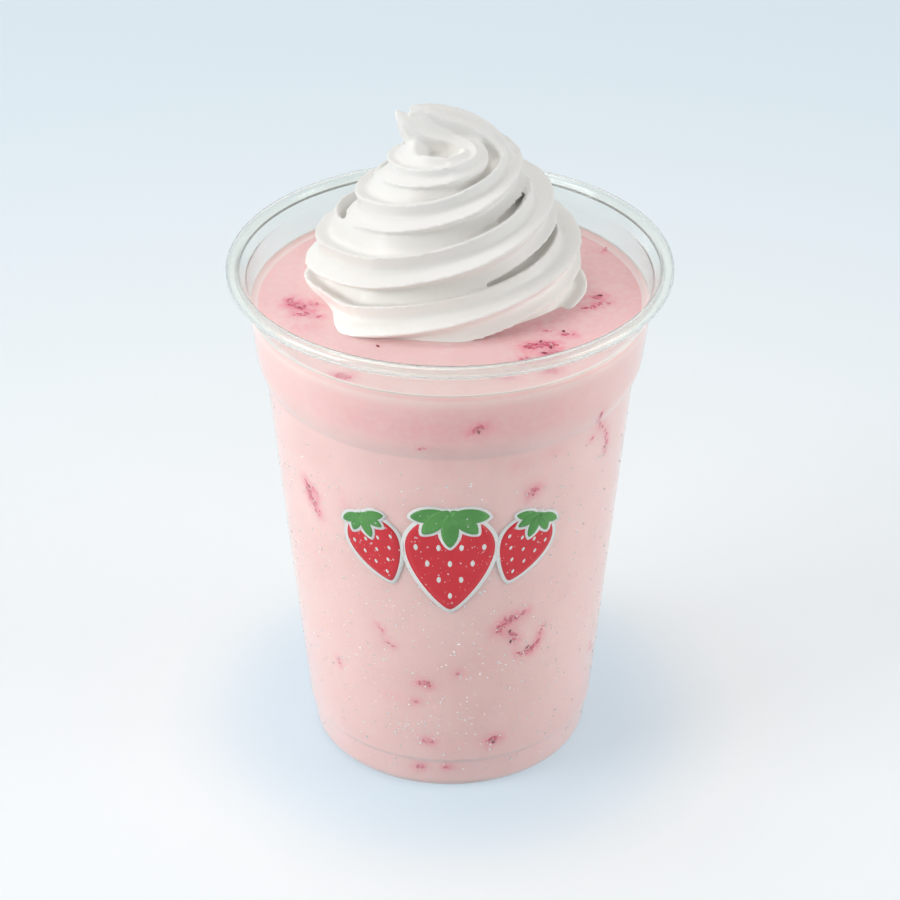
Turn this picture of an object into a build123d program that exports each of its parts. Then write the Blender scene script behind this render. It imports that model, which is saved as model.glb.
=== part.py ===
"""Strawberry milkshake in a clear plastic cup with a piped cream swirl (millimetres, +Z up).

The origin is the middle of the cup's underside. Each piece is one solid:
  cup        thin wall with a foot, a stacking shoulder and a rolled lip
  milkshake  fills the cup up to its level
  swirl      star-piped topping that stands on the milkshake and bends over at its tip
"""
from build123d import *
import math
import os

# ---- cup, outside sizes ----
WALL = 0.5                   # thickness of the plastic
FOOT_CORNER = 2.6            # rounding between the underside and the foot
FOOT_RADIUS = 32.4           # top of the foot, just under the ledge
FOOT_HEIGHT = 8.0
FOOT_TAPER = 0.9             # how much narrower the foot is at the underside
LEDGE_OUT = 0.7              # step from the foot out to the body
LEDGE_RISE = 1.2
BODY_LENGTH = 85.2           # tapered body, from the ledge to the shoulder
BODY_TOP_RADIUS = 40.85
SHOULDER_OUT = 1.75          # step from the body out to the neck
SHOULDER_RISE = 3.2
NECK_LENGTH = 19.6           # from the shoulder to the lip's flare
NECK_FLARE = 2.4             # how much wider the neck is at its top
SOFT_CORNER = 1.1            # rounding of the ledge and the shoulder

# ---- rolled lip ----
LIP_OUT = 4.0                # how far the roll stands out of the neck
LIP_RISE = 3.9               # from the neck's top to the roll's top
ROLL_RADIUS = 1.45           # section of the roll
ROLL_TURN = 292.0            # degrees that the sheet curls round

# ---- milkshake ----
LEVEL_DROP = 9.9             # from the top of the lip down to the surface
FILL_CLEARANCE = 0.03        # between the drink and the wall

# ---- swirl ----
SWIRL_RADIUS = 33.2          # widest, over the crests of the ridges
SWIRL_HEIGHT = 42.0
SWIRL_WALL_GAP = 1.6         # between the widest part and the wall behind it
SWIRL_LEFT = 1.1             # how far it stands to the left of the cup's axis
SWIRL_OUTLINE = (            # shares of the height and of the radius, from foot to tip
    (0.0, 0.94),
    (0.095, 1.0),
    (0.285, 0.89),
    (0.5, 0.72),
    (0.715, 0.488),
    (0.857, 0.307),
    (0.952, 0.15),
    (1.0, 0.027),
)
ROPE_PITCH = 9.4             # rise of the piped rope in one turn
GROOVE_DEEP = 3.4            # between one turn of the rope and the next
GROOVE_SHALLOW = 1.9         # between the two ridges of a turn
GROOVE_START = 0.62          # part of a turn by which the first deep groove is shifted
RIDGE_LEAN = 0.34            # share of a ridge taken by its steep underside
FULL_GROOVES = 0.59          # share of the radius from which the grooves have their full depth
LEAST_BODY = 0.35            # share of the crest's radius that no groove goes below
TIP_BEND = 10.5              # how far the tip bends to the left
TIP_BEND_START = 0.69        # share of the height where the bend starts
CREAM_SIDES = 60             # facets round the swirl
CREAM_LAYERS = 48            # facets up the swirl

# ---- places worked out from the sizes above ----
BODY_FOOT_HEIGHT = FOOT_HEIGHT + LEDGE_RISE
BODY_TOP_HEIGHT = BODY_FOOT_HEIGHT + BODY_LENGTH
NECK_FOOT_RADIUS = BODY_TOP_RADIUS + SHOULDER_OUT
NECK_FOOT_HEIGHT = BODY_TOP_HEIGHT + SHOULDER_RISE
NECK_TOP_RADIUS = NECK_FOOT_RADIUS + NECK_FLARE
NECK_TOP_HEIGHT = NECK_FOOT_HEIGHT + NECK_LENGTH
ROLL_CENTRE = (NECK_TOP_RADIUS + LIP_OUT - ROLL_RADIUS, NECK_TOP_HEIGHT + LIP_RISE - ROLL_RADIUS)
LEVEL = NECK_TOP_HEIGHT + LIP_RISE - LEVEL_DROP
WIDEST_HEIGHT = LEVEL + SWIRL_OUTLINE[1][0] * SWIRL_HEIGHT
WALL_BEHIND = NECK_FOOT_RADIUS + NECK_FLARE * (WIDEST_HEIGHT - NECK_FOOT_HEIGHT) / NECK_LENGTH - WALL
SWIRL_BACK = WALL_BEHIND - SWIRL_WALL_GAP - SWIRL_RADIUS


def tangent_angle(point, centre, radius):
    """Angle on a circle where a line from a lower left point touches its upper left side."""
    across = centre[0] - point[0]
    rise = centre[1] - point[1]
    reach = math.hypot(across, rise)
    return math.degrees(math.atan2(rise, across) + math.asin(radius / reach)) + 90.0


def outside_points():
    """Corners of the cup's outside, from the axis up to the start of the flare."""
    return [
        (0.0, 0.0),
        (FOOT_RADIUS - FOOT_TAPER, 0.0),
        (FOOT_RADIUS, FOOT_HEIGHT),
        (FOOT_RADIUS + LEDGE_OUT, BODY_FOOT_HEIGHT),
        (BODY_TOP_RADIUS, BODY_TOP_HEIGHT),
        (NECK_FOOT_RADIUS, NECK_FOOT_HEIGHT),
        (NECK_TOP_RADIUS, NECK_TOP_HEIGHT),
    ]


def sheet_side(thickness, roll_radius):
    """One side of the sheet, from the axis up over the lip and round the roll.

    The thickness is how far it lies inside the cup's outside; the two sides turn round
    the same roll centre, so the outer side takes the smaller roll radius.
    """
    corners = [(max(r - thickness, 0.0), max(z, thickness)) for r, z in outside_points()]
    meet = tangent_angle(corners[-1], ROLL_CENTRE, roll_radius)
    touch = (
        ROLL_CENTRE[0] + roll_radius * math.cos(math.radians(meet)),
        ROLL_CENTRE[1] + roll_radius * math.sin(math.radians(meet)),
    )
    rounding = [FOOT_CORNER - thickness] + [SOFT_CORNER] * 5
    wall_line = FilletPolyline(*corners, touch, radius=rounding)
    roll = CenterArc(ROLL_CENTRE, roll_radius, meet, -ROLL_TURN)
    return wall_line.edges() + roll.edges(), corners[0], roll @ 1


def make_cup():
    """Sheet of even thickness turned round the axis."""
    food_side, food_foot, food_end = sheet_side(WALL, ROLL_RADIUS)
    outer_side, outer_foot, outer_end = sheet_side(0.0, ROLL_RADIUS - WALL)
    ends = Line(food_end, outer_end).edges() + Line(food_foot, outer_foot).edges()
    section = Plane.XZ * make_face(food_side + outer_side + ends)
    return revolve(section, Axis.Z)


def make_milkshake():
    """Everything inside the cup's food side, up to the level."""
    corners = outside_points()
    gap = WALL + FILL_CLEARANCE
    inner = [(0.0, gap)] + [(r - gap, max(z, gap)) for r, z in corners[1:]]
    rounding = [FOOT_CORNER - gap] + [SOFT_CORNER] * 4
    side = FilletPolyline(*inner, radius=rounding)
    top_corner = inner[-1]
    outline = side.edges() + Line(top_corner, (0.0, top_corner[1])).edges()
    outline = outline + Line((0.0, top_corner[1]), inner[0]).edges()
    filled = revolve(Plane.XZ * make_face(outline), Axis.Z)
    above = Pos(0, 0, LEVEL) * Cylinder(
        2 * NECK_TOP_RADIUS, NECK_TOP_HEIGHT, align=(Align.CENTER, Align.CENTER, Align.MIN)
    )
    return filled - above


def crest_radius(share_up):
    """Radius over the crests at a share of the height."""
    for (low, low_radius), (high, high_radius) in zip(SWIRL_OUTLINE, SWIRL_OUTLINE[1:]):
        if share_up <= high:
            share = (share_up - low) / (high - low)
            return SWIRL_RADIUS * (low_radius + (high_radius - low_radius) * share)
    return SWIRL_RADIUS * SWIRL_OUTLINE[-1][1]


def ridge_dip(phase):
    """How far the surface lies below the crests; the phase counts turns of the rope."""
    half = (2.0 * phase) % 2.0
    depth = GROOVE_DEEP if half < 1.0 else GROOVE_SHALLOW
    place = half % 1.0
    if place < RIDGE_LEAN:
        return depth * (1.0 - math.sin(0.5 * math.pi * place / RIDGE_LEAN))
    next_depth = GROOVE_SHALLOW if half < 1.0 else GROOVE_DEEP
    return next_depth * (1.0 - math.cos(0.5 * math.pi * (place - RIDGE_LEAN) / (1.0 - RIDGE_LEAN)))


def swirl_point(angle, share_up):
    """A point on the swirl; the angle runs round the axis in radians."""
    crest = crest_radius(share_up)
    phase = share_up * SWIRL_HEIGHT / ROPE_PITCH - angle / (2.0 * math.pi) + GROOVE_START
    fullness = min(1.0, crest / (FULL_GROOVES * SWIRL_RADIUS))
    radius = max(LEAST_BODY * crest, crest - fullness * ridge_dip(phase))
    bend = max(0.0, (share_up - TIP_BEND_START) / (1.0 - TIP_BEND_START))
    x = radius * math.cos(angle) - SWIRL_LEFT - TIP_BEND * bend ** 2
    y = radius * math.sin(angle) + SWIRL_BACK
    return Vector(x, y, LEVEL + share_up * SWIRL_HEIGHT)


def facet(*corners):
    """Flat face through three or more points."""
    return Face(Wire.make_polygon(corners, close=True))


def make_swirl():
    """Closed faceted skin: rings of points with ridges that wind upwards."""
    rings = []
    for layer in range(CREAM_LAYERS + 1):
        angles = [2.0 * math.pi * side / CREAM_SIDES for side in range(CREAM_SIDES)]
        rings.append([swirl_point(angle, layer / CREAM_LAYERS) for angle in angles])
    faces = [facet(*rings[0]), facet(*rings[-1])]
    for lower, upper in zip(rings, rings[1:]):
        for side in range(CREAM_SIDES):
            after = (side + 1) % CREAM_SIDES
            faces.append(facet(lower[side], lower[after], upper[after]))
            faces.append(facet(lower[side], upper[after], upper[side]))
    return Solid(Shell(faces))


def main():
    os.makedirs("parts", exist_ok=True)
    export_step(make_cup(), "parts/cup.step")
    export_step(make_milkshake(), "parts/milkshake.step")
    export_step(make_swirl(), "parts/swirl.step")


main()
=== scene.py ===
"""Strawberry milkshake in a clear plastic cup with a piped cream swirl: the looks, in metres."""
import math
import random

import bmesh
import bpy
import numpy as np
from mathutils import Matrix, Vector, noise


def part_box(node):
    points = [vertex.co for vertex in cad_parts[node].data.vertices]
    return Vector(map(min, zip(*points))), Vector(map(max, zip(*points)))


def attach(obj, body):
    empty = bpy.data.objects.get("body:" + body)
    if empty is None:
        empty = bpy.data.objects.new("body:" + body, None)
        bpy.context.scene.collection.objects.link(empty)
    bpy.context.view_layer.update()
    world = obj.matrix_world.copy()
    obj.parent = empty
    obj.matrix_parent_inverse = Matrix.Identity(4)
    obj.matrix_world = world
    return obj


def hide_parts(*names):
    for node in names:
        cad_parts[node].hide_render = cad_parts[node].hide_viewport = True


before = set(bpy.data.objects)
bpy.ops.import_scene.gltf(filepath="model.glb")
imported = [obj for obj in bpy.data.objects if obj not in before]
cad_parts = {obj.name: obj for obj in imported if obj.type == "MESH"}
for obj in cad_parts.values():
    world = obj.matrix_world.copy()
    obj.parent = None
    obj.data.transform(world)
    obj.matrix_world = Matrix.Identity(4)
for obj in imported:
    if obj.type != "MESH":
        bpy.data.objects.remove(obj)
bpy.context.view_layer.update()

MM = 0.001
BODY = "root"

# ---- cup, outside sizes in millimetres ----
WALL = 0.5
FOOT_CORNER = 2.6
FOOT_RADIUS = 32.4
FOOT_HEIGHT = 8.0
FOOT_TAPER = 0.9
LEDGE_OUT = 0.7
LEDGE_RISE = 1.2
SHOULDER_HEIGHT = 94.4
SHOULDER_RADIUS = 40.85
SHOULDER_OUT = 1.75
SHOULDER_RISE = 3.2
NECK_HEIGHT = 117.2
NECK_RADIUS = 45.0
SOFT_CORNER = 1.1
SHOULDER_ROUND = 16.0
LIP_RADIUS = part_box("cup")[1].x / MM
LIP_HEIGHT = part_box("cup")[1].z / MM
ROLL_RADIUS = 1.45
ROLL_TURN = 292.0
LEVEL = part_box("milkshake")[1].z / MM
# the shake's edge climbs the wall: distance in from the wall and rise above the level
EDGE_CLIMB = ((0.0, 1.0), (0.3, 0.45), (1.0, 0.12), (2.0, 0.0))
CUP_SIDES = 192
CUP_SPACING = 2.5
SHAKE_SIDES = 340
SHAKE_SPACING = 0.8

# ---- swirl, in millimetres; whole turns are counted at the front ----
SWIRL_BACK = 9.5
SWIRL_LEFT = 1.1
SWIRL_LEAN = (2.0, -1.2)
LEAN_RISE = 16.0
FRONT_ANGLE = 265.0
# the rope's rise, its radius and its extra climb across the front, at turns -1, 0, 1, 2 and 3
TURN_RISE = (-7.6, 1.7, 11.8, 22.0, 29.6)
TURN_RADIUS = (5.6, 6.7, 6.8, 6.2, 4.0)
TURN_CLIMB = (3.2, 3.2, 3.2, 2.0, 1.0)
CLIMB_LEAD = 0.04
# how far the swirl reaches from its axis at each height
REACH_HEIGHTS = (0.0, 6.0, 12.0, 18.0, 24.0, 30.0, 36.0)
REACH = (32.2, 30.4, 25.2, 21.6, 16.4, 12.8, 9.4)
REACH_UNEVEN = 0.6
# outline of the lowest turn: angle from the front and share of the reach
BASE_ANGLES = (
    -180.0, -110.0, -85.0, -70.0, -55.0, -40.0, -20.0,
    0.0, 20.0, 40.0, 60.0, 80.0, 120.0, 180.0,
)
BASE_SHARE = (
    0.97, 0.97, 0.97, 0.91, 0.93, 1.01, 0.96,
    0.93, 0.905, 0.90, 0.96, 1.0, 0.85, 0.94,
)
BASE_FADE = 14.0
BASE_FADED = 0.85
# the rope is thinner at one side of each turn, most of all at the two hollows on the right
ROPE_SWELL = 0.03
ROPE_UNEVEN = 0.06
SQUEEZE = 0.08
SQUEEZE_TURN = 0.14
PIT_TURN = 0.15
PIT_WIDTH = 0.06
PIT_DEPTH = 0.045
# section of the rope, as shares of its radius, with angles in radians
STAR_POINTS = 8
STAR_DEPTH = 0.46
FLAP_DEPTH = 0.26
STAR_TURN = -0.20
STAR_TWIST = -1.57
STAR_MIDDLE = 0.62
WEAK_RIDGES = 0.22
RIDGES_UNEVEN = 0.5
SOFT_DENTS = 0.06
ROPE_SIDES = 112
# the rope's curl and the strands beside it, as knots of x, y, z and radius: the curl round the hole and
# out to the left point, the cream below it, the ridge over the back to the right point, two fillings
CURL = (
    (5.4, -6.8, 30.4, 3.7),
    (5.4, -3.4, 31.8, 3.4),
    (1.2, -1.4, 33.6, 3.0),
    (-3.6, -1.2, 34.8, 3.3),
    (-6.4, -1.0, 36.2, 3.0),
    (-8.6, -0.8, 38.6, 2.0),
    (-10.8, -0.6, 41.2, 0.3),
)
SADDLE = (
    (-4.8, -7.6, 28.0, 3.4),
    (-6.0, -4.6, 31.2, 3.0),
    (-5.6, -1.8, 34.0, 2.8),
)
BACK_RIDGE = (
    (11.6, -6.5, 22.0, 3.4),
    (11.8, -1.4, 26.4, 4.0),
    (9.2, 1.8, 30.8, 4.2),
    (4.6, 2.2, 34.2, 4.2),
    (-0.6, 1.4, 37.0, 3.7),
    (-4.6, 0.5, 39.6, 2.4),
    (-7.6, -0.2, 41.9, 0.3),
)
TAIL_FILLING = (
    (-7.6, -3.6, 29.0, 3.0),
    (-4.6, -0.6, 31.4, 3.6),
    (0.6, 1.4, 32.4, 3.6),
    (5.4, 1.6, 31.0, 3.4),
)
HOLE_FLOOR = (
    (-1.4, -4.2, 26.0, 3.2),
    (-1.4, -3.8, 29.0, 3.0),
    (-1.4, -3.4, 32.0, 2.4),
)
# each strand's knots, the sides of its section and the depth of its ridges
STRANDS = (
    (BACK_RIDGE, ROPE_SIDES, FLAP_DEPTH),
    (SADDLE, 64, 0.1),
    (HOLE_FLOOR, 48, 0.1),
    (TAIL_FILLING, 64, 0.2),
)
STRAND_TURN = 2.5
CREAM_VOXEL = 0.45
CORE_INSET = 7.8
CORE_TOP = 27.0
CORE_LEAST = 2.0
CORE_SUNK = 2.0
SWIRL_SUNK = 0.6

# ---- strawberry in the shake ----
# on the wall: angle from the front, height, length, width, tilt, bend and strength of colour
WALL_FRUIT = (
    (-52.5, 76.5, 4.4, 1.5, -64, 0.2, 0.80),
    (-50.0, 73.0, 5.0, 1.7, -58, 0.3, 0.75),
    (-49.0, 77.0, 3.0, 0.8, -40, 0.3, 0.50),
    (-35.5, 77.5, 4.6, 1.6, -78, 0.4, 0.22),
    (-8.0, 98.0, 1.4, 0.5, 20, 0.0, 0.30),
    (8.0, 103.0, 2.4, 1.3, 30, 0.3, 0.80),
    (32.5, 92.0, 3.2, 1.8, 10, 0.3, 0.22),
    (22.0, 91.0, 3.0, 1.2, 0, 0.2, 0.20),
    (27.0, 83.0, 2.6, 1.6, 35, 0.3, 0.75),
    (52.5, 95.0, 6.6, 1.0, -62, -0.8, 0.70),
    (57.5, 87.5, 7.0, 0.9, -80, 0.6, 0.70),
    (49.5, 91.0, 1.0, 0.7, 10, 0.0, 0.55),
    (20.5, 47.5, 5.6, 2.0, 34, 0.9, 0.85),
    (26.0, 49.5, 3.4, 0.9, 24, 0.3, 0.55),
    (23.0, 43.5, 3.2, 1.3, -62, 0.3, 0.75),
    (29.5, 39.5, 6.0, 1.2, 24, -1.3, 0.90),
    (34.0, 43.0, 3.0, 0.7, 72, -0.3, 0.45),
    (-25.5, 45.5, 2.0, 0.7, -50, 0.3, 0.50),
    (-22.0, 41.5, 2.2, 0.9, -20, 0.3, 0.45),
    (-46.0, 30.5, 2.2, 0.7, -80, 0.0, 0.50),
    (-9.5, 31.5, 3.0, 1.2, -12, 0.3, 0.65),
    (-13.0, 26.0, 0.9, 0.8, 0, 0.0, 0.60),
    (-22.0, 26.5, 3.0, 1.0, -8, 0.2, 0.20),
    (3.0, 35.0, 0.9, 0.8, 0, 0.0, 0.45),
    (69.0, 26.5, 3.4, 0.6, -70, 0.0, 0.45),
    (17.0, 14.0, 2.6, 1.5, 15, 0.2, 0.85),
    (-8.5, 14.5, 2.4, 1.2, -5, 0.2, 0.60),
    (-12.5, 6.0, 2.0, 1.0, 5, 0.0, 0.70),
    (-1.0, 6.5, 1.4, 0.8, 0, 0.0, 0.65),
)
# on the level: x, y, and the rest as on the wall
TOP_FRUIT = (
    (-22.5, -34.0, 3.4, 1.6, -25, 0.0, 0.95),
    (21.5, -32.0, 3.4, 1.4, 25, 0.0, 0.75),
    (-33.5, -4.0, 4.6, 2.0, -35, 0.4, 0.80),
    (-32.5, -7.5, 3.2, 1.4, 10, 0.3, 0.70),
    (-35.0, -1.5, 2.6, 1.2, 60, 0.3, 0.55),
    (-30.0, -3.0, 2.2, 2.2, -30, 0.0, 0.45),
    (-31.5, -13.5, 3.8, 1.6, 12, 0.4, 0.28),
    (-28.5, -8.5, 0.9, 0.8, 0, 0.0, 0.55),
    (19.5, -21.5, 7.2, 2.2, 8, 0.5, 0.95),
    (21.5, -24.5, 3.6, 1.4, 14, 0.3, 0.70),
    (25.5, -16.5, 2.8, 0.9, 4, 0.0, 0.75),
    (15.5, -27.0, 2.6, 1.0, 55, 0.0, 0.70),
    (21.0, -15.0, 2.2, 1.0, 5, 0.0, 0.40),
    (31.0, -3.5, 5.0, 0.9, 32, -0.7, 0.80),
    (32.5, 0.5, 1.8, 1.4, 20, 0.0, 0.80),
    (34.5, -2.5, 1.4, 0.8, 0, 0.0, 0.40),
    (33.0, 28.0, 3.4, 1.0, -60, 0.9, 0.35),
    (34.5, 22.5, 3.0, 1.0, 50, -0.8, 0.30),
    (-22.0, 32.5, 3.4, 1.4, 30, 0.4, 0.60),
    (12.0, -34.5, 3.6, 1.6, 6, 0.3, 0.30),
)
SEEDS_ON_WALL = (
    (21.5, 45.5), (22.0, 42.5), (17.0, 13.5), (-52.0, 77.5), (57.5, 86.0), (29.0, 39.5), (8.0, 102.5),
)
SEEDS_ON_TOP = (
    (19.5, -19.5), (21.5, -22.0), (27.0, -23.5), (24.5, -15.0), (33.0, 1.0), (-15.5, -21.5), (-33.0, -4.5),
    (20.0, -24.5),
)
# round the back: how many, and the range of each of the same values
BACK_FRUIT = 34
BACK_FRUIT_RANGES = (
    (76.0, 284.0), (6.0, 106.0), (1.0, 6.0), (0.6, 1.8), (-80.0, 80.0), (-0.8, 0.8), (0.25, 0.9),
)
BACK_SEEDS = 12
WEAKEST_FLAKES = 0.3
FLAKES_PER_MARK = 4
FLAKES_PER_AREA = 4.0
FLAKE_RADIUS = (0.16, 0.42)
FLAKE_ON_TOP = 0.11
FLAKE_ON_WALL = 0.05
SEED_LENGTH = (0.55, 0.72)
SEED_WIDTH = (0.26, 0.34)
SEED_ON_TOP = 0.28
SEED_ON_WALL = 0.12
# pink round each mark and on the neck; on the level pink, with painted shade deepening it towards both sides
STAIN_STRENGTH = 1.15
STAIN_SOFT = 0.75
NECK_BLUSH = 103.0
NECK_HALF_HEIGHT = 5.0
NECK_HALF_ANGLE = 48.0
NECK_STRENGTH = 0.38
TOP_BLUSH = 0.05
TOP_SHADE_LEFT = 0.16
TOP_SHADE_RIGHT = 0.26
TOP_SHADE_REACH = 30.0
# pink that has melted out along the right front of the swirl's foot, with the cream's contact shadow painted
# into it
MELT_SHADOW_ANGLE = 42.0
MELT_SHADOW_SPREAD = 34.0
MELT_SHADOW_WIDTH = 2.6
MELT_SHADOW_STRENGTH = 0.42

# ---- print on the front: middle height, and each strawberry's place, width, height and tilt ----
PRINT_HEIGHT = 67.6
PRINT_FRUIT = (
    (0.0, -0.4, 23.0, 27.0, 0.0),
    (-16.6, 1.0, 14.8, 18.0, 22.0),
    (16.6, 1.0, 14.8, 18.0, -22.0),
)
KEYLINE = 0.95
LEAF_KEYLINE = 0.76
SEED_ROWS = (1, 2, 3, 4, 3)
LEAVES = 5
LEAF_SPREAD = 41.0
# how far each layer stands out from the wall, and how far the films reach into it
FILM_SUNK = -0.04
WHITE_OUT = 0.02
RED_OUT = 0.034
SEEDS_OUT = 0.05
LEAF_EDGE_OUT = 0.046
LEAF_OUT = 0.06
NEXT_LEAF_OUT = 0.003
MIDDLE_FRUIT_OUT = 0.004

# ---- dew on the outside ----
DEW_DROPS = 2200
DEW_SIDES = 8
DEW_HEIGHTS = (4.0, 92.0)
DEW_RADIUS = (0.08, 0.20)
DEW_RINGS = ((1.0, -0.03), (0.92, 0.22), (0.62, 0.46))
DEW_TOP = 0.56
DEW_OUT = 0.02
DEW_OFF_LEDGE = 1.6
DEW_FRONT = 60.0
DEW_SHOULDER = 84.0

# ---- looks and stage, in metres, degrees and watts; the lens and its sensor in millimetres ----
GRAIN_DEPTH = 0.0002
LAMPS = (
    ("left_box", (-0.76, -0.28, 0.44), 4.1),
    ("right_box", (0.78, -0.20, 0.28), 2.4),
    ("top_box", (-0.15, 0.12, 0.95), 2.4),
)
LAMP_SIDE = 0.5
LAMP_AIM = (0.0, 0.0, 0.08)
WORLD_LIGHT = 0.35
WORLD_SEEN = 0.95
FLOOR_HALF = 3.0
FLOOR_GLOW = 0.46
FLOOR_FADE = 0.4
# floor colour by distance from the cup: darker and bluer round the foot as a painted soft shadow, palest a
# little further out, bluer far away
FLOOR_TINTS_AND_SHADOW = (
    (0.0, (0.76, 0.88, 0.97)),
    (0.09, (0.76, 0.88, 0.97)),
    (0.18, (0.95, 0.985, 1.0)),
    (1.0, (0.83, 0.935, 1.0)),
)
CAMERA_AIM = (0.0, 0.0, 0.07192)
CAMERA_DISTANCE = 0.7
CAMERA_ELEVATION = 31.52
CAMERA_LENS = 123.5
CAMERA_SENSOR = 36.0


# ======== meshes ========
def new_object(name, data):
    """An object in the scene, with its mesh, lamp or camera."""
    item = bpy.data.objects.new(name, data)
    bpy.context.scene.collection.objects.link(item)
    return item


def new_piece(name, mesh, slot, material):
    """An object that rides on the cup's body, with the given material; its slot is not used."""
    piece = new_object(name, mesh)
    mesh.materials.append(material)
    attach(piece, BODY)
    return piece


def mesh_from(name, points, faces):
    """Smoothly shaded mesh of points in millimetres."""
    mesh = bpy.data.meshes.new(name)
    mesh.from_pydata([tuple(c * MM for c in p) for p in points], [], faces)
    mesh.validate()
    mesh.shade_smooth()
    return mesh


def rounded(corners, radii, steps=8):
    """Outline through the corners, with each inner corner rounded by an arc of its radius."""
    points = [corners[0]]
    for before, corner, after, radius in zip(corners, corners[1:], corners[2:], radii):
        here = Vector(corner)
        back = (Vector(before) - here).normalized()
        ahead = (Vector(after) - here).normalized()
        half = math.acos(max(-1.0, min(1.0, back.dot(ahead)))) / 2
        reach = radius / math.tan(half)
        middle = here + (back + ahead).normalized() * (radius / math.sin(half))
        start = here + back * reach - middle
        end = here + ahead * reach - middle
        for step in range(steps + 1):
            share = step / steps
            spoke = start.lerp(end, share).normalized() * radius
            points.append(tuple(middle + spoke))
    points.append(corners[-1])
    return points


def with_rings(outline, spacing, edge=0.35):
    """The same outline with more points on its long straight stretches, so that shading stays true."""
    points = [outline[0]]
    for start, end in zip(outline, outline[1:]):
        length = math.dist(start, end)
        if length > 2.5 * edge:
            inner = length - 2.0 * edge
            count = max(1, math.ceil(inner / spacing))
            for step in range(count + 1):
                share = (edge + inner * step / count) / length
                points.append(tuple(a + (b - a) * share for a, b in zip(start, end)))
        points.append(end)
    return points


def lathe(name, outline, sides):
    """Turns an outline of (radius, height) round the axis; points on the axis become poles."""
    points, faces, rows = [], [], []
    for radius, height in outline:
        if radius < 1e-6:
            rows.append([len(points)] * sides)
            points.append((0.0, 0.0, height))
            continue
        rows.append([len(points) + side for side in range(sides)])
        for angle in full_turn(sides):
            points.append((radius * math.cos(angle), radius * math.sin(angle), height))
    for low, high in zip(rows, rows[1:]):
        for side in range(sides):
            after = (side + 1) % sides
            corners = [low[side], low[after], high[after], high[side]]
            face = list(dict.fromkeys(corners))
            if len(face) > 2:
                faces.append(face)
    return mesh_from(name, points, faces)


def full_turn(count):
    """Angles that share a full turn evenly, in radians."""
    return [2.0 * math.pi * step / count for step in range(count)]


def band_faces(start, rings, sides):
    """Faces between rings of points that follow each other from start."""
    faces = []
    for ring in range(rings):
        for side in range(sides):
            after = (side + 1) % sides
            a, b = start + ring * sides + side, start + ring * sides + after
            faces.append((a, b, b + sides, a + sides))
    return faces


def fan_faces(start, sides, hub, under=False):
    """Triangles from a ring to its hub; a fan on the underside is turned over."""
    faces = []
    for side in range(sides):
        here, after = start + side, start + (side + 1) % sides
        faces.append((after, here, hub) if under else (here, after, hub))
    return faces


def end_faces(start, rings, sides):
    """The flat faces on the first and the last ring."""
    last = start + rings * sides
    return [tuple(range(start, start + sides))[::-1], tuple(range(last, last + sides))]


# ======== cup ========
def rounding(sunk):
    """Radii of the wall's corners from the foot up, on a surface sunk below the outside."""
    return [FOOT_CORNER - sunk] + [SOFT_CORNER] * 3 + [SHOULDER_ROUND, SOFT_CORNER]


def outside_points():
    """Corners of the cup's outside as (radius, height), from the axis up to the neck."""
    return [
        (0.0, 0.0),
        (FOOT_RADIUS - FOOT_TAPER, 0.0),
        (FOOT_RADIUS, FOOT_HEIGHT),
        (FOOT_RADIUS + LEDGE_OUT, FOOT_HEIGHT + LEDGE_RISE),
        (SHOULDER_RADIUS, SHOULDER_HEIGHT),
        (SHOULDER_RADIUS + SHOULDER_OUT, SHOULDER_HEIGHT + SHOULDER_RISE),
        (NECK_RADIUS, NECK_HEIGHT),
    ]


def tangent_angle(point, centre, radius):
    """Angle on a circle, in degrees, where the line from a point below it meets it."""
    across = centre[0] - point[0]
    rise = centre[1] - point[1]
    reach = math.hypot(across, rise)
    return math.degrees(math.atan2(rise, across) + math.asin(radius / reach)) + 90.0


def sheet_side(thickness, roll_radius, steps=40):
    """One side of the cup's sheet, from the axis over the lip and round the roll."""
    corners = [(max(r - thickness, 0.0), max(z, thickness)) for r, z in outside_points()]
    centre = (LIP_RADIUS - ROLL_RADIUS, LIP_HEIGHT - ROLL_RADIUS)
    meet = tangent_angle(corners[-1], centre, roll_radius)

    def on_roll(angle):
        turn = math.radians(angle)
        return (centre[0] + roll_radius * math.cos(turn), centre[1] + roll_radius * math.sin(turn))

    wall = rounded(corners + [on_roll(meet)], rounding(thickness))
    roll = [on_roll(meet - ROLL_TURN * step / steps) for step in range(1, steps + 1)]
    return wall + roll


def wall_radius(height):
    """Outside radius of the cup at a height."""
    points = outside_points()[1:]
    for (low_r, low_z), (high_r, high_z) in zip(points, points[1:]):
        if height <= high_z:
            return low_r + (high_r - low_r) * (height - low_z) / (high_z - low_z)
    return points[-1][0]


# ======== swirl ========
def at_turn(turn, values):
    """Smooth value at a turn, between the values that stand for turns -1, 0, 1 and so on."""
    index = max(0, min(math.floor(turn) + 1, len(values) - 2))
    share = turn + 1 - index
    before = values[max(index - 1, 0)]
    after = values[min(index + 2, len(values) - 1)]
    here, ahead = values[index], values[index + 1]
    slope_in, slope_out = (ahead - before) / 2, (after - here) / 2
    cube, square = share ** 3, share ** 2
    return (
        (2 * cube - 3 * square + 1) * here
        + (cube - 2 * square + share) * slope_in
        + (3 * square - 2 * cube) * ahead
        + (cube - square) * slope_out
    )


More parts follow.
